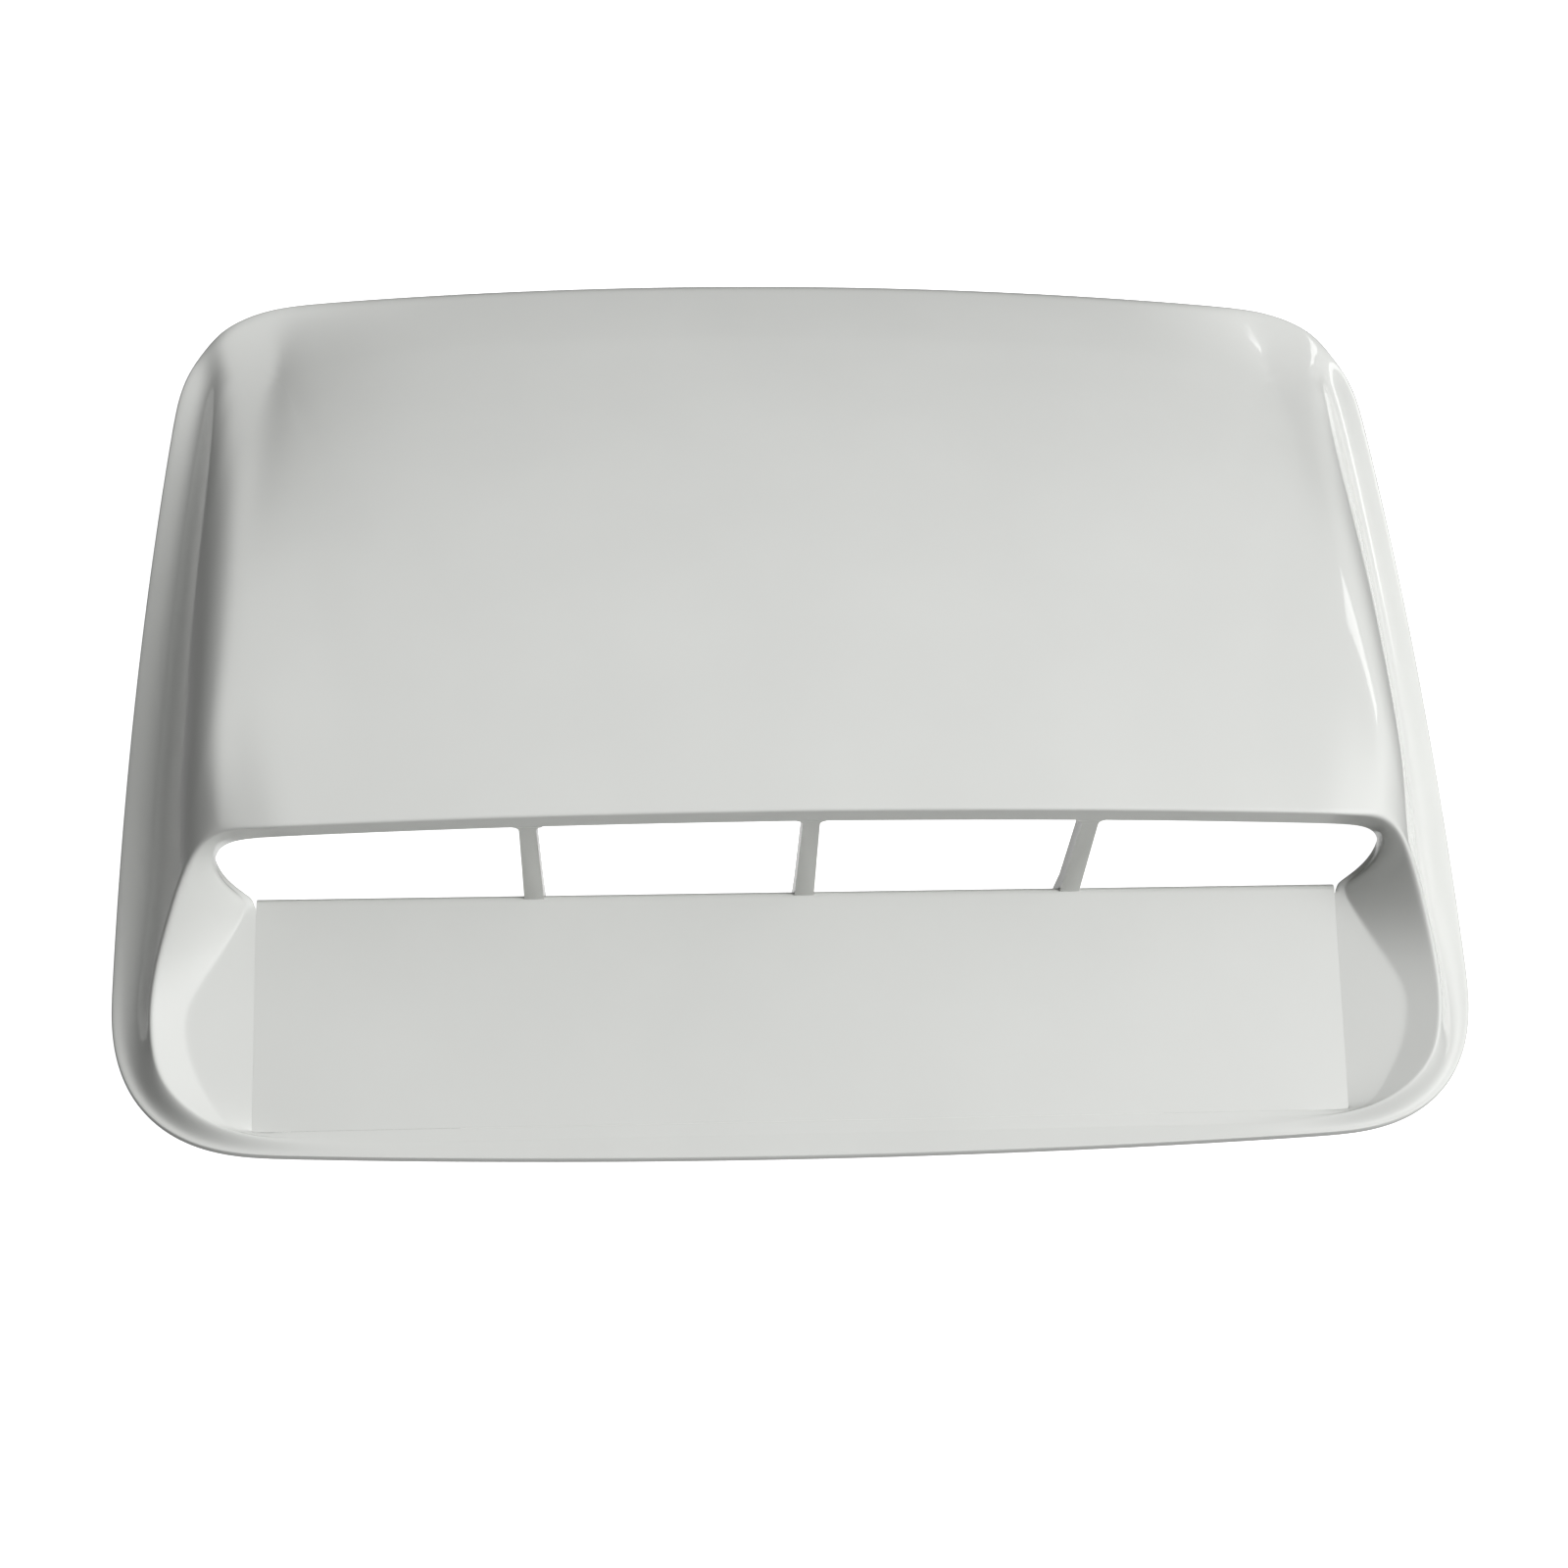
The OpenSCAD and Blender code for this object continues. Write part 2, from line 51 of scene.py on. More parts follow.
# moves the front corner line so that the outline is centred on the origin
SHIFT_Y = -(LENGTH + BOW_REAR - BOW_FRONT) / 2
# skin thickness, heights of the flange's top and foot, and height of the recess for the tape
SKIN, FLANGE_TOP, FLANGE_LOW, RECESS = 2.6, 3.3, 0.3, 1.3
# the wall flares out of the flange and then climbs straight
WALL_START, WALL_FLARE, WALL_SLOPE = 5.0, 8.0, 2.6
# towards the rear the wall rises sooner, starting and ending this far before the corner line
REAR_RISE, REAR_RISE_FROM, REAR_RISE_TO = 10.5, 26.0, 2.0
# inset at which the wall rows give way to the crown rows
WALL_DEPTH = 30.0
# crown heights at the lip and at the rear, and its camber at LIP_HALF from the centre line
CROWN, CROWN_REAR, CROWN_POWER, CAMBER, LIP_HALF = 56.9, 6.0, 1.75, 3.4, 131.0
# extra roll-off towards the sides: it follows u^4 (1 - u), which ROLL_SCALE scales to peak at 1
SIDE_ROLL, ROLL_END, ROLL_SCALE = 5.0, 139.0, 12.2
# the shoulder's width follows c^1.3 (66 - c) for a crown c high, scaled to peak at SHOULDER
SHOULDER, SHOULDER_POWER, SHOULDER_TOP, SHOULDER_SCALE = 22.0, 1.3, 66.0, 3160.0
# the lip: its place and height at the centre, its bead, and how far its ends bow and droop
LIP_BACK, LIP_LOW, BEAD = 62.45, 50.3, 2.6
LIP_BOW, LIP_DROOP = 2.0, 5.4
# the ramped floor, the slope of the facet beside it and the seam round the floor panel
FLOOR_HALF, FLOOR_FRONT, FLOOR_Z = 132.5, 3.8, 4.0
RAMP = math.tan(math.radians(14.8))
FACET = 0.13
SEAM = 0.12
# rows of the underside this close to the flange's edge lie flat on the tape
FLAT_DEPTH = 8.5


def clamp01(v):
    return min(max(v, 0.0), 1.0)


def smooth(a, b, v):
    u = clamp01((v - a) / (b - a))
    return u * u * (3 - 2 * u)


def half_w(y):
    u = clamp01(y / LENGTH)
    return HALF * (1 + (TAPER - 1) * u) + BOW_SIDE * 4 * u * (1 - u)


def front_y(x):
    return -BOW_FRONT * (1 - clamp01(abs(x) / HALF) ** 2)


def rear_y(x):
    return LENGTH + BOW_REAR * (1 - clamp01(abs(x) / HALF) ** 2)


def squircle(a):
    a = math.radians(a)
    return [max(v, 0.0) ** (2 / CORNER_POWER) for v in (math.cos(a), math.sin(a))]


def outline(e):
    """Edge of the flange: 0-1 front, 1-2 front corner, 2-3 side, 3-4 rear corner, 4-5 rear."""
    if e < 0 or e > 5:
        p = outline(-e if e < 0 else 10 - e)
        return Vector((-p.x, p.y))
    if e < 1:
        x = e * (HALF - CORNER_FRONT)
        return Vector((x, front_y(x)))
    if e < 2:
        q = squircle(90 * (e - 1))
        dy = CORNER_FRONT * (1 - q[0])
        x = half_w(dy) - CORNER_FRONT * (1 - q[1])
        return Vector((x, front_y(x) + dy))
    if e < 3:
        y = CORNER_FRONT + (e - 2) * (LENGTH - CORNER_REAR - CORNER_FRONT)
        return Vector((half_w(y), y))
    if e < 4:
        q = squircle(90 * (e - 3))
        dy = CORNER_REAR * (1 - q[1])
        x = half_w(LENGTH - dy) - CORNER_REAR * (1 - q[0])
        return Vector((x, rear_y(x) - dy))
    x = (5 - e) * (half_w(LENGTH) - CORNER_REAR)
    return Vector((x, rear_y(x)))


def inset(e, d):
    """The outline moved in by d."""
    t = (outline(e + 0.01) - outline(e - 0.01)).normalized()
    return outline(e) + d * Vector((-t.y, t.x))


def edge_dist(x, y):
    """Distance of a plan point from the outline."""
    front = y < LENGTH / 2
    r = CORNER_FRONT if front else CORNER_REAR
    qx = abs(x) - half_w(y) + r
    qy = (front_y(x) - y if front else y - rear_y(x)) + r
    if qx > 0 and qy > 0:
        return r - (qx ** CORNER_POWER + qy ** CORNER_POWER) ** (1 / CORNER_POWER)
    return r - max(qx, qy)


def wall_z(d):
    s = clamp01((d - WALL_START) / WALL_FLARE)
    flare = WALL_FLARE * (s ** 3 - s ** 4 / 2)
    return FLANGE_TOP + WALL_SLOPE * (flare + max(d - WALL_START - WALL_FLARE, 0))


def crown_at(x, y):
    u = clamp01((y - LIP_BACK) / (rear_y(x) - LIP_BACK))
    z = CROWN - (CROWN - CROWN_REAR) * u ** CROWN_POWER
    z -= CAMBER * (x / LIP_HALF) ** 2 * z / CROWN
    roll = (min(abs(x), ROLL_END) / LIP_HALF) ** 8
    return z - SIDE_ROLL * ROLL_SCALE * u ** 4 * (1 - u) * roll


def dome_z(x, y):
    """Height of the outer surface: the lower of wall and crown, rounded where they meet."""
    wall = wall_z(edge_dist(x, y)
                  + REAR_RISE * smooth(LENGTH - REAR_RISE_FROM, LENGTH - REAR_RISE_TO, y))
    crown = crown_at(x, y)
    k = SHOULDER * crown ** SHOULDER_POWER * (SHOULDER_TOP - crown) / SHOULDER_SCALE
    h = max(k - abs(wall - crown), 0) / k
    return min(wall, crown) - h * h * k / 4


def ramp_z(y):
    return FLOOR_Z + (y - FLOOR_FRONT) * RAMP


def lip_y(x):
    return LIP_BACK - LIP_BOW * (x / HALF) ** 2


def lip_z(x):
    return LIP_LOW - LIP_DROOP * (x / HALF) ** 2


def on_floor(x, y):
    return (x, y, ramp_z(y))


def on_facet(x, y):
    return (x, y, ramp_z(y) + FACET * (x - FLOOR_HALF))


def front_st(e, x):
    return (e, (x, 0.8, FLANGE_TOP), (x, 2.2, 3.65), on_floor(x, FLOOR_FRONT))


def side_st(e, rim, crease, inner_y):
    return (e, rim, crease, on_floor(FLOOR_HALF, inner_y))


def lip_st(e, x):
    y = lip_y(x)
    return (e, (x, y - 0.1, dome_z(x, y - 0.1)), (x, y, lip_z(x)), (x, y + BEAD, lip_z(x) + 0.1))


# stations of the mouth's right half, from the centre of the front round to the centre of the lip:
# each is (outline position, rim, crease, inner edge)
STATIONS = [
    front_st(0, 0), front_st(0.33, 42), front_st(0.62, 80), front_st(0.84, 105),
    (1.02, (126, 1.5, 4.3), (122.6, 2.4, 4), on_floor(119, FLOOR_FRONT)),
    side_st(1.24, (139.6, 3.9, 6.4), (136.7, 2.6, 5.1), FLOOR_FRONT),
    side_st(1.44, (148.6, 9.4, 9.3), (141.6, 9.9, 7), 8.6),
    side_st(1.64, (153.6, 15.4, 11.7), (145.6, 16.2, 9), 15),
    side_st(1.84, (155.5, 22.2, 13.6), (147.9, 23.6, 11.3), 22),
    side_st(2, (156.2, 29.4, 15.6), on_facet(148.4, 30.8), 29),
    side_st(2.06, (155.6, 36.4, 18.2), on_facet(145.2, 37), 36),
    side_st(2.11, (153.8, 42.6, 22.2), on_facet(141.4, 43.2), 43),
    side_st(2.155, (151, 48.2, 28), on_facet(137.9, 49.4), 49.5),
    side_st(2.195, (148.2, 53.2, 34), on_facet(134.9, 54.8), 55),
    (2.23, (145.4, 57.2, 38.8), (134.7, 57.2, 19.4), (133, 58, 18)),
    (2.265, (142.6, 60, 42.8), (137.9, 58.4, 23), (136.8, 59.8, 20.8)),
    (2.3, (139.4, 61.5, 46.4), (140.4, 60.6, 27.2), (140, 62.2, 25)),
    (2.34, (135.8, 62, 49.2), (140.4, 63, 32.2), (141.2, 65.2, 30.8)),
    (2.39, (132, 61.9, 51.2), (137.2, 63.6, 38), (138.8, 66.2, 37.2)),
    (2.45, (127.6, 61.5, 52.4), (131.6, 62.9, 42.8), (132.6, 65.6, 42.6)),
    lip_st(2.55, 122.5), lip_st(2.68, 116), lip_st(2.86, 109), lip_st(3.1, 101),
    lip_st(3.36, 93), lip_st(3.62, 85), lip_st(3.88, 76), lip_st(4.2, 62),
    lip_st(4.6, 32), lip_st(5, 0)]
STATIONS = [(e, Vector(r), Vector(a), Vector(i)) for e, r, a, i in STATIONS]
LAST = len(STATIONS) - 1
# station from which the inner edge leaves the straight side of the floor
SLOT_START = 13.5
# stations between which the dome's rows turn from beside the mouth to behind the lip
TURN_FROM, TURN_TO = 14, 21
# stations between which the skin's thickness turns from straight down to square to the surface
TILT_FROM, TILT_TO = 5, 8
# stations between which the underside folds in behind the lip
FOLD_FROM, FOLD_TO = 13, 15.8


def value(k, c):
    """Part c of station k, carried on in a straight line past either end."""
    if k < 0:
        return 2 * value(0, c) - value(1, c)
    if k > LAST:
        return 2 * value(LAST, c) - value(LAST - 1, c)
    return STATIONS[k][c]


def straight(c, t):
    k = min(int(math.floor(t)), LAST - 1)
    return value(k, c) * (1 - t + k) + value(k + 1, c) * (t - k)


def spline(c, t):
    k = min(int(math.floor(t)), LAST - 1)
    u = t - k
    v = 1 - u
    return (v ** 3 * value(k - 1, c) + (3 * u ** 3 - 6 * u * u + 4) * value(k, c)
            + (3 * v ** 3 - 6 * v * v + 4) * value(k + 1, c) + u ** 3 * value(k + 2, c)) / 6


def mirrored(f):
    """Lets f(t, ...) run past either end of the right half on to the left half."""
    def g(t, *a):
        if t < 0 or t > LAST:
            p = f(-t if t < 0 else 2 * LAST - t, *a)
            return Vector((-p.x, p.y, p.z))
        return f(t, *a)
    return g


def half_t(t):
    """The station on the right half that mirrors t."""
    return -t if t < 0 else 2 * LAST - t if t > LAST else t


def edge_at(t):
    return min(max(spline(0, half_t(t)), 0), 5)


rim = mirrored(lambda t: spline(1, t))
crease = mirrored(lambda t: spline(2, t))
inner_edge = mirrored(lambda t: straight(3, t).lerp(spline(3, t), clamp01(t - SLOT_START)))
flange_point = mirrored(lambda t, d, z: Vector((*inset(edge_at(t), d), z)))


@mirrored
def dome(t, a, b):
    """Outer surface at station t. Beside the mouth, a runs 0-1 from the outline to the rim.

    Behind the lip, b is an inset up to WALL_DEPTH, and one more takes it on to the rim.
    """
    e = edge_at(t)
    r = spline(1, t)
    beside = outline(e).lerp(r.xy, a)
    f = clamp01(b - WALL_DEPTH)
    behind = inset(e, min(b, WALL_DEPTH)).lerp(r.xy, f)
    m = smooth(TURN_FROM, TURN_TO, t)
    p = beside.lerp(behind, m)
    lift = (r.z - dome_z(r.x, r.y)) * smooth(0.2, 1, a * (1 - m) + f * m)
    return Vector((p.x, p.y, dome_z(p.x, p.y) + lift))


def mouth(t, f):
    """Mouth surround at station t: f runs 0-1 from rim to crease and 1-2 to the inner edge."""
    return rim(t).lerp(crease(t), f) if f <= 1 else crease(t).lerp(inner_edge(t), f - 1)


def dome_normal(t, a, b):
    db = 0.5 if b < WALL_DEPTH - 0.5 else 0.02
    along = dome(t + 0.05, a, b) - dome(t - 0.05, a, b)
    inward = (dome(t, min(a + 0.02, 1), min(b + db, WALL_DEPTH + 1))
              - dome(t, max(a - 0.02, 0), max(b - db, 0)))
    n = along.cross(inward)
    return (-n if n.z < 0 else n).normalized()


def mouth_normal(t, f0, f1):
    f = (f0 + f1) / 2
    return (mouth(t + 0.05, f) - mouth(t - 0.05, f)).cross(mouth(t, f1) - mouth(t, f0)).normalized()


# rows of each column, as (a, b) for the dome and f for the mouth
OUTER_ROWS = [(0.1, 2.5), (0.2, 4.5), (0.29, 6.5), (0.37, 8.5), (0.44, 11), (0.51, 14),
              (0.57, 17.5), (0.63, 20.5), (0.69, 24), (0.74, 27), (0.79, 30), (0.83, 30.2),
              (0.865, 30.42), (0.895, 30.66), (0.92, 30.88), (0.94, 30.975)]
MOUTH_ROWS = [0, 0.14, 0.38, 0.66, 0.9, 1, 1.14, 1.55, 2]
UNDER_ROWS = [(0.74, 30.965), (0.71, 30.82), (0.675, 30.6), (0.64, 30.36), (0.605, 30.14), (0.565, 28),
              (0.525, 24), (0.48, 20.5), (0.435, 17), (0.385, 13.5), (0.33, 10.6), (0.27, 8.4), (0.2, 6.2)]


def above_recess(p):
    return Vector((p.x, p.y, max(p.z, RECESS)))


def down(t, n):
    return Vector((0, 0, 1)).lerp(n, smooth(TILT_FROM, TILT_TO, half_t(t))).normalized()


def under_dome(t, row):
    q = half_t(t)
    reach = (rim(q).xy - outline(edge_at(q))).length
    a = row[0] + (1 - row[0]) * 2 / reach
    p = dome(t, a, row[1]) - SKIN * down(t, dome_normal(t, a, row[1]))
    return Vector((p.x, p.y, RECESS)) if row[1] < FLAT_DEPTH else above_recess(p)


def under_mouth(t, f, n):
    return mouth(t, f) - SKIN * down(t, n)


def under_lip(t):
    back = under_mouth(t, 2, mouth_normal(t, 1.8, 2))
    start = under_dome(t, UNDER_ROWS[0])
    fold = smooth(FOLD_FROM, FOLD_TO, half_t(t))
    bend = (mouth_normal(t, 0.7, 0.9) + mouth_normal(t, 1.2, 1.4)).normalized()
    at_crease = under_mouth(t, 1, bend)
    at_side = under_mouth(t, 0.45, mouth_normal(t, 0.35, 0.55))
    return [above_recess(back),
            above_recess(at_crease.lerp(back.lerp(start, 1 / 3), fold)),
            above_recess(at_side.lerp(back.lerp(start, 2 / 3), fold))]


def column(t):
    """One closed column of the ring: flange edge, dome, mouth, underside and tape recess."""
    top = dome(t, 0, 0).z
    return ([flange_point(t, 0, FLANGE_LOW), flange_point(t, 0, top - 1.2),
             flange_point(t, 0.35, top - 0.3)]
            + [dome(t, a, b) for a, b in OUTER_ROWS] + [mouth(t, f) for f in MOUTH_ROWS]
            + under_lip(t) + [under_dome(t, r) for r in UNDER_ROWS]
            + [flange_point(t, 1.75, RECESS), flange_point(t, 1.6, FLANGE_LOW)])


# ------------------------------------------------------------------ materials
def new_material(name):
    mat = bpy.data.materials.new(name)
    mat.use_nodes = True
    mat.node_tree.nodes.clear()
    return mat, mat.node_tree


def add(tree, kind, **settings):
    """Adds a node; settings are inputs by name (spaces as _), or attributes."""
    n = tree.nodes.new(kind)
    for key, v in settings.items():
        if hasattr(n, key) and key not in n.inputs:
            setattr(n, key, v)
            continue
        socket = n.inputs[key.replace("_", " ")]
        if isinstance(v, bpy.types.NodeSocket):
            tree.links.new(v, socket)
        else:
            socket.default_value = v
    return n


def gloss_plastic(name, color, rough=0.08, peel=0.02):
    """Glossy moulded plastic: faint orange peel, slight mottling and a few dull smudges."""
    mat, t = new_material(name)
    coord = add(t, "ShaderNodeTexCoord").outputs["Object"]
    fine = add(t, "ShaderNodeTexNoise", Vector=coord, Scale=420.0, Detail=3.0, Roughness=0.55)
    wide = add(t, "ShaderNodeTexNoise", Vector=coord, Scale=26.0, Detail=2.0, Roughness=0.5)
    smudge = add(t, "ShaderNodeTexNoise", Vector=coord, Scale=70.0, Detail=5.0, Roughness=0.65)
    tint = add(t, "ShaderNodeMapRange", Value=wide.outputs["Fac"], From_Min=0.3, From_Max=0.7,
               To_Min=0.985, To_Max=1.01)
    mixer = add(t, "ShaderNodeVectorMath", operation="SCALE")
    mixer.inputs[0].default_value = color
    t.links.new(tint.outputs[0], mixer.inputs["Scale"])
    gloss = add(t, "ShaderNodeMapRange", Value=smudge.outputs["Fac"], From_Min=0.35, From_Max=0.75,
                To_Min=rough * 0.85, To_Max=rough * 1.35)
    b1 = add(t, "ShaderNodeBump", Height=fine.outputs["Fac"], Strength=peel, Distance=0.0006)
    b2 = add(t, "ShaderNodeBump", Height=wide.outputs["Fac"], Strength=peel * 1.2, Distance=0.004,
             Normal=b1.outputs[0])
    bsdf = add(t, "ShaderNodeBsdfPrincipled", Roughness=gloss.outputs[0], IOR=1.52, Normal=b2.outputs[0])
    t.links.new(mixer.outputs[0], bsdf.inputs["Base Color"])
    out = add(t, "ShaderNodeOutputMaterial")
    t.links.new(bsdf.outputs[0], out.inputs["Surface"])
    return mat


def simple(name, color, rough, metallic=0.0, scale=900.0, bump=0.2, depth=0.0002, tone=0.15):
    """Fine-grained surface: colour and height vary together at one scale."""
    mat, t = new_material(name)
    coord = add(t, "ShaderNodeTexCoord").outputs["Object"]
    grain = add(t, "ShaderNodeTexNoise", Vector=coord, Scale=scale, Detail=4.0, Roughness=0.6)
    shade = add(t, "ShaderNodeMapRange", Value=grain.outputs["Fac"], From_Min=0.25, From_Max=0.75,
                To_Min=1 - tone, To_Max=1 + tone)
    mixer = add(t, "ShaderNodeVectorMath", operation="SCALE")
    mixer.inputs[0].default_value = color
    t.links.new(shade.outputs[0], mixer.inputs["Scale"])
    b = add(t, "ShaderNodeBump", Height=grain.outputs["Fac"], Strength=bump, Distance=depth)
    bsdf = add(t, "ShaderNodeBsdfPrincipled", Roughness=rough, Metallic=metallic, Normal=b.outputs[0])
    t.links.new(mixer.outputs[0], bsdf.inputs["Base Color"])
    out = add(t, "ShaderNodeOutputMaterial")
    t.links.new(bsdf.outputs[0], out.inputs["Surface"])
    return mat


WHITE = (0.735, 0.745, 0.722)
shell_mat = gloss_plastic("shell_gloss", WHITE)
floor_mat = gloss_plastic("floor_gloss", WHITE)
# the fins are the same white plastic as the shell; their colour is set darker than WHITE as painted shade,
# for the shade under the lip
fin_mat_painted_shade = gloss_plastic("fin_gloss_painted_shade", (0.66, 0.67, 0.64))
tape_mat = simple("foam", (0.03, 0.03, 0.032), 0.85, bump=0.6, depth=0.0004, tone=0.3)
liner_mat = simple("release_film", (0.45, 0.02, 0.015), 0.35, scale=120.0, bump=0.1, tone=0.05)
block_mat = simple("block_plastic", (0.6, 0.6, 0.57), 0.5, scale=500.0, tone=0.04)
brass_mat = simple("brass", (0.62, 0.44, 0.16), 0.3, metallic=1.0, scale=700.0, bump=0.1, tone=0.1)


# ------------------------------------------------------------------ pieces
def finish_piece(name, mesh, mat, slot, *replaced):
    """Makes a piece of a mesh: it rides on the root body and replaces the CAD nodes named."""
    ob = bpy.data.objects.new(name, mesh)
    bpy.context.collection.objects.link(ob)
    mesh.materials.clear()
    mesh.materials.append(mat)
    mesh.shade_smooth()
    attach(ob, "root")
    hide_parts(*replaced)
    return ob


def cover_mesh():
    """The ring of columns as quads, per columns to a station interval."""
    per = 3
    n = 2 * LAST * per
    net = [column(i / per) for i in range(n)]
    m = len(net[0])
    verts = [(p.x * MM, (p.y + SHIFT_Y) * MM, p.z * MM) for col in net for p in col]
    faces = [(i * m + j, i * m + (j + 1) % m, (i + 1) % n * m + (j + 1) % m, (i + 1) % n * m + j)
             for i in range(n) for j in range(m)]
    mesh = bpy.data.meshes.new("cover")
    mesh.from_pydata(verts, [], faces)
    # the edge beside the floor panel stays sharp, so that the panel meets it without a groove
    edge_rows = 3
    row = edge_rows + len(OUTER_ROWS) + len(MOUTH_ROWS) - 1
    beside = [half_t(i / per) <= SLOT_START for i in range(n)]
    # station at the floor's front corner, whose point stays put
    floor_corner = 5
    corner = {(i * m + row) for i in range(n) if abs(half_t(i / per) - floor_corner) < 0.01}
    bm = bmesh.new()
    bm.from_mesh(mesh)
    bmesh.ops.recalc_face_normals(bm, faces=bm.faces)
    edge_crease = bm.edges.layers.float.new("crease_edge")
    vert_crease = bm.verts.layers.float.new("crease_vert")
    for edge in bm.edges:
        (i, j), (k, l) = (divmod(v.index, m) for v in edge.verts)
        if j == l == row and beside[i] and beside[k]:
            edge[edge_crease] = 1.0
            edge.smooth = False
    for v in bm.verts:
        if v.index in corner:
            v[vert_crease] = 1.0
    bm.to_mesh(mesh)
    bm.free()
    return mesh


cover = finish_piece("cover_skin", cover_mesh(), shell_mat, "shell_white", "cover_shell")
sub = cover.modifiers.new("smooth", "SUBSURF")
sub.levels = sub.render_levels = 2


# vertices this close to a plane, in metres, lie on it
NEAR = 1e-5


def bevelled(name, node, mat, slot, width, segments=3, angle=30, grow=False):
    """A copy of a CAD node's mesh with its flat faces merged and its edges rounded.

    grow moves the floor panel's front and side faces out over its seam, to meet the cover.
    """
    mesh = nodes[node].data.copy()
    bm = bmesh.new()
    bm.from_mesh(mesh)
    bmesh.ops.remove_doubles(bm, verts=bm.verts, dist=1e-6)
    bmesh.ops.dissolve_limit(bm, angle_limit=math.radians(1), verts=bm.verts, edges=bm.edges)
    if grow:
        for v in bm.verts:
            if abs(abs(v.co.x) - (FLOOR_HALF - SEAM) * MM) < NEAR:
                v.co.x = math.copysign(FLOOR_HALF * MM, v.co.x)
            if abs(v.co.y - (FLOOR_FRONT + SEAM + SHIFT_Y) * MM) < NEAR:
                v.co.y -= SEAM * MM
    bm.to_mesh(mesh)
    bm.free()
    ob = finish_piece(name, mesh, mat, slot, node)
    bev = ob.modifiers.new("round", "BEVEL")
    bev.width = width * MM
    bev.segments = segments
    bev.limit_method = "ANGLE"
    bev.angle_limit = math.radians(angle)
    mesh.set_sharp_from_angle(angle=math.radians(angle))
    return ob


bevelled("ramp_panel", "intake_floor", floor_mat, "floor_white", 0.03, 1, grow=True)
for side in ("left", "center", "right"):
    bevelled("upright_" + side, "fin_" + side, fin_mat_painted_shade, "fin_white", 0.3)
for side in ("front", "rear", "left", "right"):
    bevelled("foam_" + side, "tape_" + side, tape_mat, "foam_tape", 0.12, 2)
    bevelled("film_" + side, "liner_" + side, liner_mat, "release_liner", 0.04, 2)
for corner in ("front_left", "front_right", "rear_left", "rear_right"):
    bevelled("block_" + corner, "mount_block_" + corner, block_mat, "block_natural", 0.4)
bevelled("inserts", "threaded_inserts", brass_mat, "insert_brass", 0.06, 2)

# ------------------------------------------------------------------ stage, light and camera
stage_mat, st = new_material("stage_white")
st_bsdf = add(st, "ShaderNodeBsdfPrincipled", Roughness=0.9)
st_bsdf.inputs["Base Color"].default_value = (0.8, 0.8, 0.8, 1)
st_bsdf.inputs["Emission Color"].default_value = (1, 1, 1, 1)
st_bsdf.inputs["Emission Strength"].default_value = 0.97
st_out = add(st, "ShaderNodeOutputMaterial")
st.links.new(st_bsdf.outputs[0], st_out.inputs["Surface"])
REACH = 8
stage_mesh = bpy.data.meshes.new("stage")
stage_mesh.from_pydata([(-REACH, -REACH, 0), (REACH, -REACH, 0), (REACH, REACH, 0), (-REACH, REACH, 0)],
                       [], [(0, 1, 2, 3)])
stage_mesh.materials.append(stage_mat)
stage = bpy.data.objects.new("stage", stage_mesh)
bpy.context.collection.objects.link(stage)
# a hair below the liners, so that the two surfaces don't fight
stage.location.z = -0.0002
stage.visible_diffuse = stage.visible_glossy = False


def toward(azimuth, elevation):
    """Unit vector: azimuth from +X towards +Y, elevation from the floor, in degrees."""
    a, e = math.radians(azimuth), math.radians(elevation)
    return Vector((math.cos(e) * math.cos(a), math.cos(e) * math.sin(a), math.sin(e)))


# broad soft glows, each a direction and a strength: from the right, the rear and below
GLOWS = [(toward(-22, 44), 2.3), (toward(68, 38), 0.9), (toward(0, -90), 1.3)]
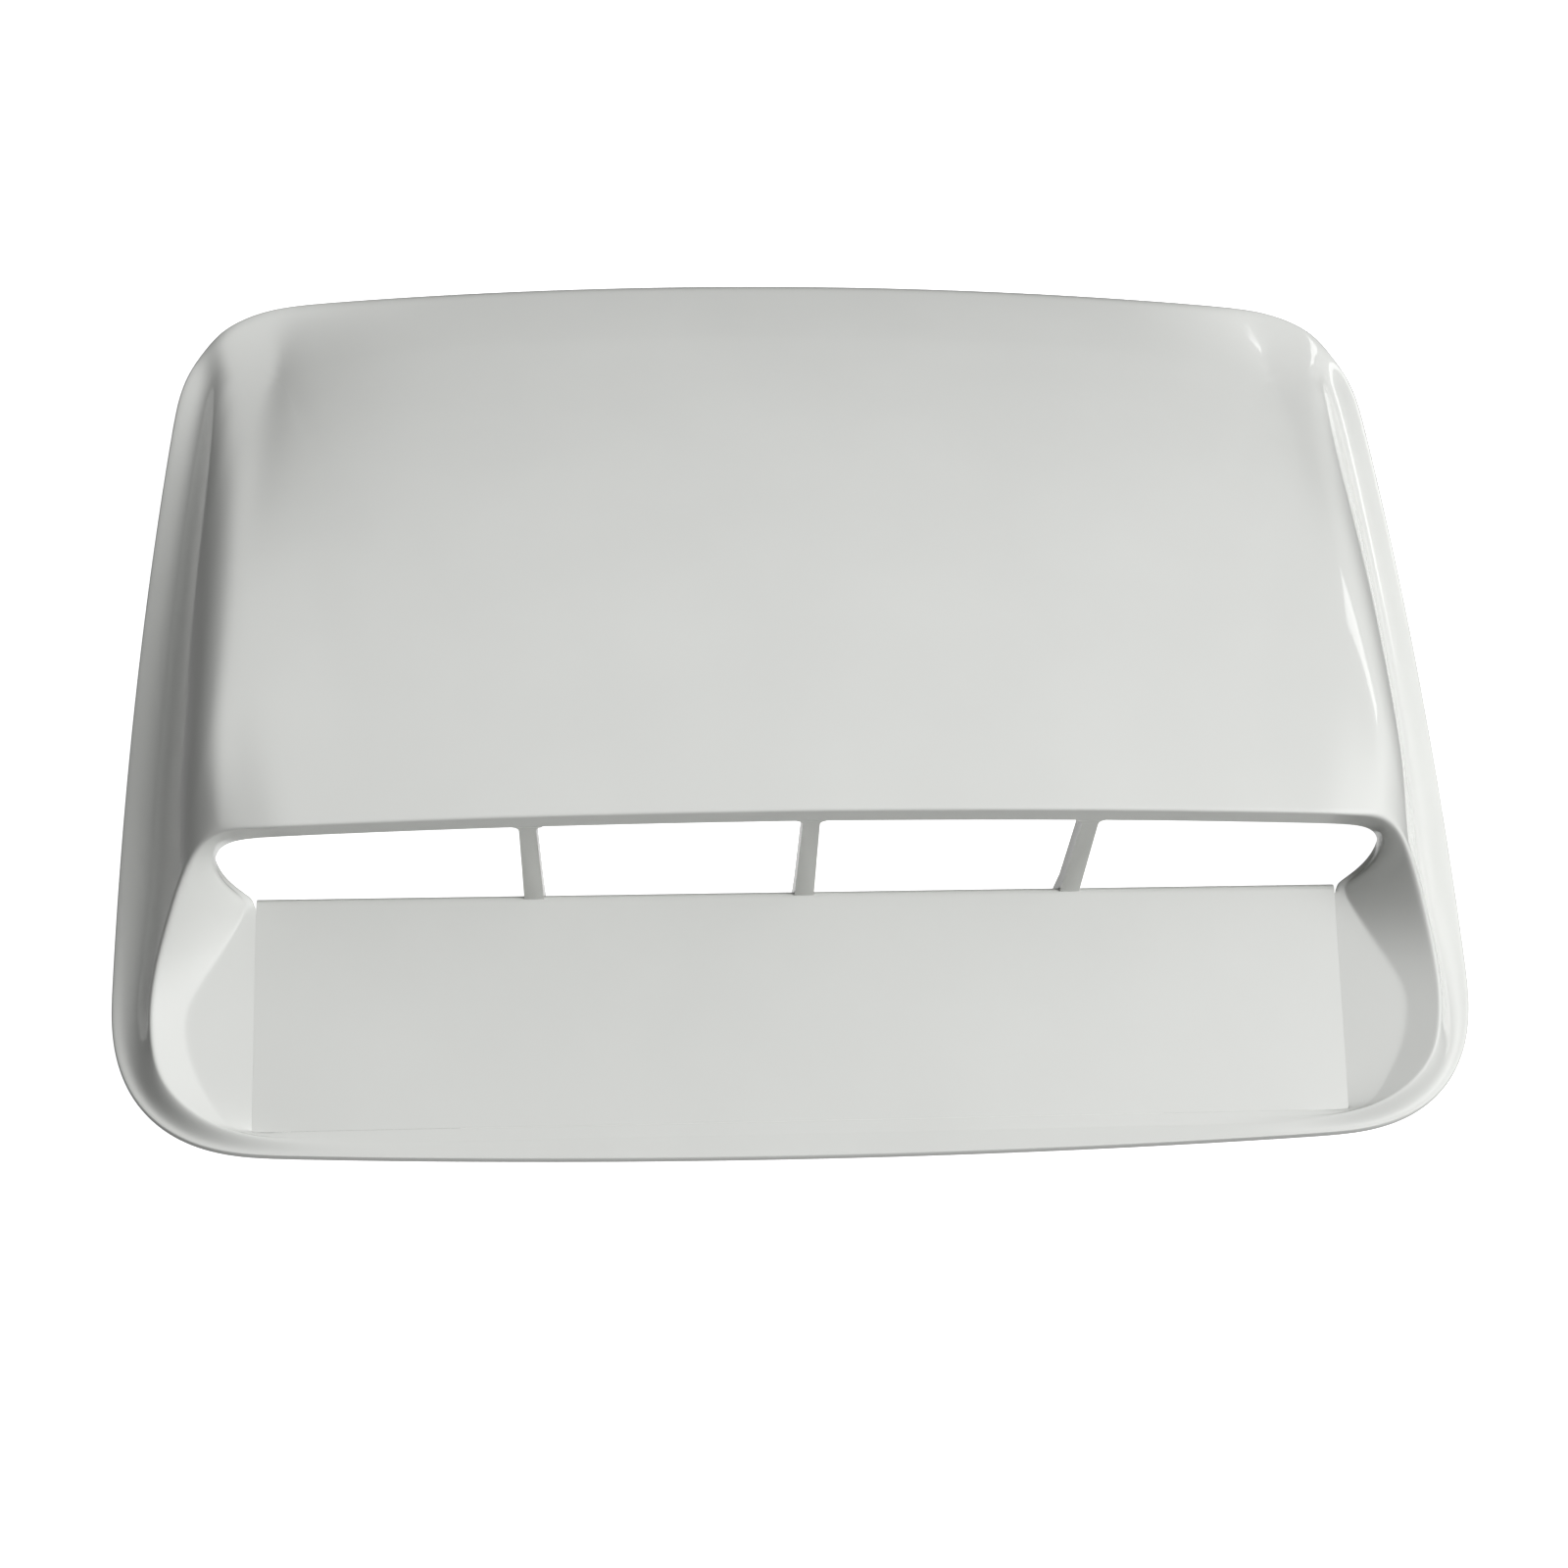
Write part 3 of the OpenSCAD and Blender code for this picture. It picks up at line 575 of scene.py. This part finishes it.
# a glow falls with this power of the cosine of the angle from its direction
GLOW_FALL = 6.0
world = bpy.data.worlds.new("studio")
bpy.context.scene.world = world
world.use_nodes = True
wt = world.node_tree
direction = add(wt, "ShaderNodeTexCoord").outputs["Generated"]
total = None
for heading, strength in GLOWS:
    dot = add(wt, "ShaderNodeVectorMath", operation="DOT_PRODUCT")
    wt.links.new(direction, dot.inputs[0])
    dot.inputs[1].default_value = heading
    facing = add(wt, "ShaderNodeMath", operation="MAXIMUM")
    wt.links.new(dot.outputs["Value"], facing.inputs[0])
    facing.inputs[1].default_value = 0.0
    lobe = add(wt, "ShaderNodeMath", operation="POWER")
    wt.links.new(facing.outputs[0], lobe.inputs[0])
    lobe.inputs[1].default_value = GLOW_FALL
    part = add(wt, "ShaderNodeMath", operation="MULTIPLY_ADD")
    wt.links.new(lobe.outputs[0], part.inputs[0])
    part.inputs[1].default_value = strength
    part.inputs[2].default_value = 0.0
    if total:
        wt.links.new(total, part.inputs[2])
    total = part.outputs[0]
wt.nodes["Background"].inputs["Color"].default_value = (1, 1, 1, 1)
wt.links.new(total, wt.nodes["Background"].inputs["Strength"])


def softbox(name, heading, size, power, distance=1.6, diffuse=True, glossy=True):
    """An area light facing the origin; it lights matt surfaces, shows in reflections, or both."""
    data = bpy.data.lights.new(name, "AREA")
    data.shape = "RECTANGLE"
    data.size, data.size_y = size
    data.energy = power
    ob = bpy.data.objects.new(name, data)
    bpy.context.collection.objects.link(ob)
    ob.location = toward(*heading) * distance
    ob.rotation_euler = (-ob.location).to_track_quat("-Z", "Y").to_euler()
    ob.visible_diffuse, ob.visible_glossy = diffuse, glossy
    return ob


softbox("key", (-26, 50), (1.2, 1.2), 13.5, glossy=False)
softbox("side_fill", (165, 15), (1.2, 1.2), 4.5, glossy=False)
softbox("window", (43, 25), (1.7, 0.9), 16, distance=4.0, diffuse=False)

# the camera looks down steeply, a little from the left and rolled; lengths here are in mm
ELEVATION, YAW, ROLL = math.radians(65.5), math.radians(8.84), math.radians(-7.41)
SENSOR, LENS, DISTANCE = 36.0, 48.375, 548.44
AIM_X, AIM_Y = -2.58, 94.65
fwd = Vector((math.sin(YAW) * math.cos(ELEVATION), math.cos(YAW) * math.cos(ELEVATION),
              -math.sin(ELEVATION)))
right = Vector((math.cos(YAW), -math.sin(YAW), 0))
low = fwd.cross(right)
cam_x = math.cos(ROLL) * right + math.sin(ROLL) * low
cam_y = math.sin(ROLL) * right - math.cos(ROLL) * low
cam_data = bpy.data.cameras.new("camera")
cam_data.sensor_width = SENSOR
cam_data.lens = LENS
cam_data.clip_start = 0.01
cam = bpy.data.objects.new("camera", cam_data)
bpy.context.collection.objects.link(cam)
aim = Vector((AIM_X, AIM_Y + SHIFT_Y, 0)) * MM
place = aim - fwd * DISTANCE * MM
cam.matrix_world = Matrix.Translation(place) @ Matrix((cam_x, cam_y, -fwd)).transposed().to_4x4()
bpy.context.scene.camera = cam
bpy.context.scene.view_settings.view_transform = "Standard"
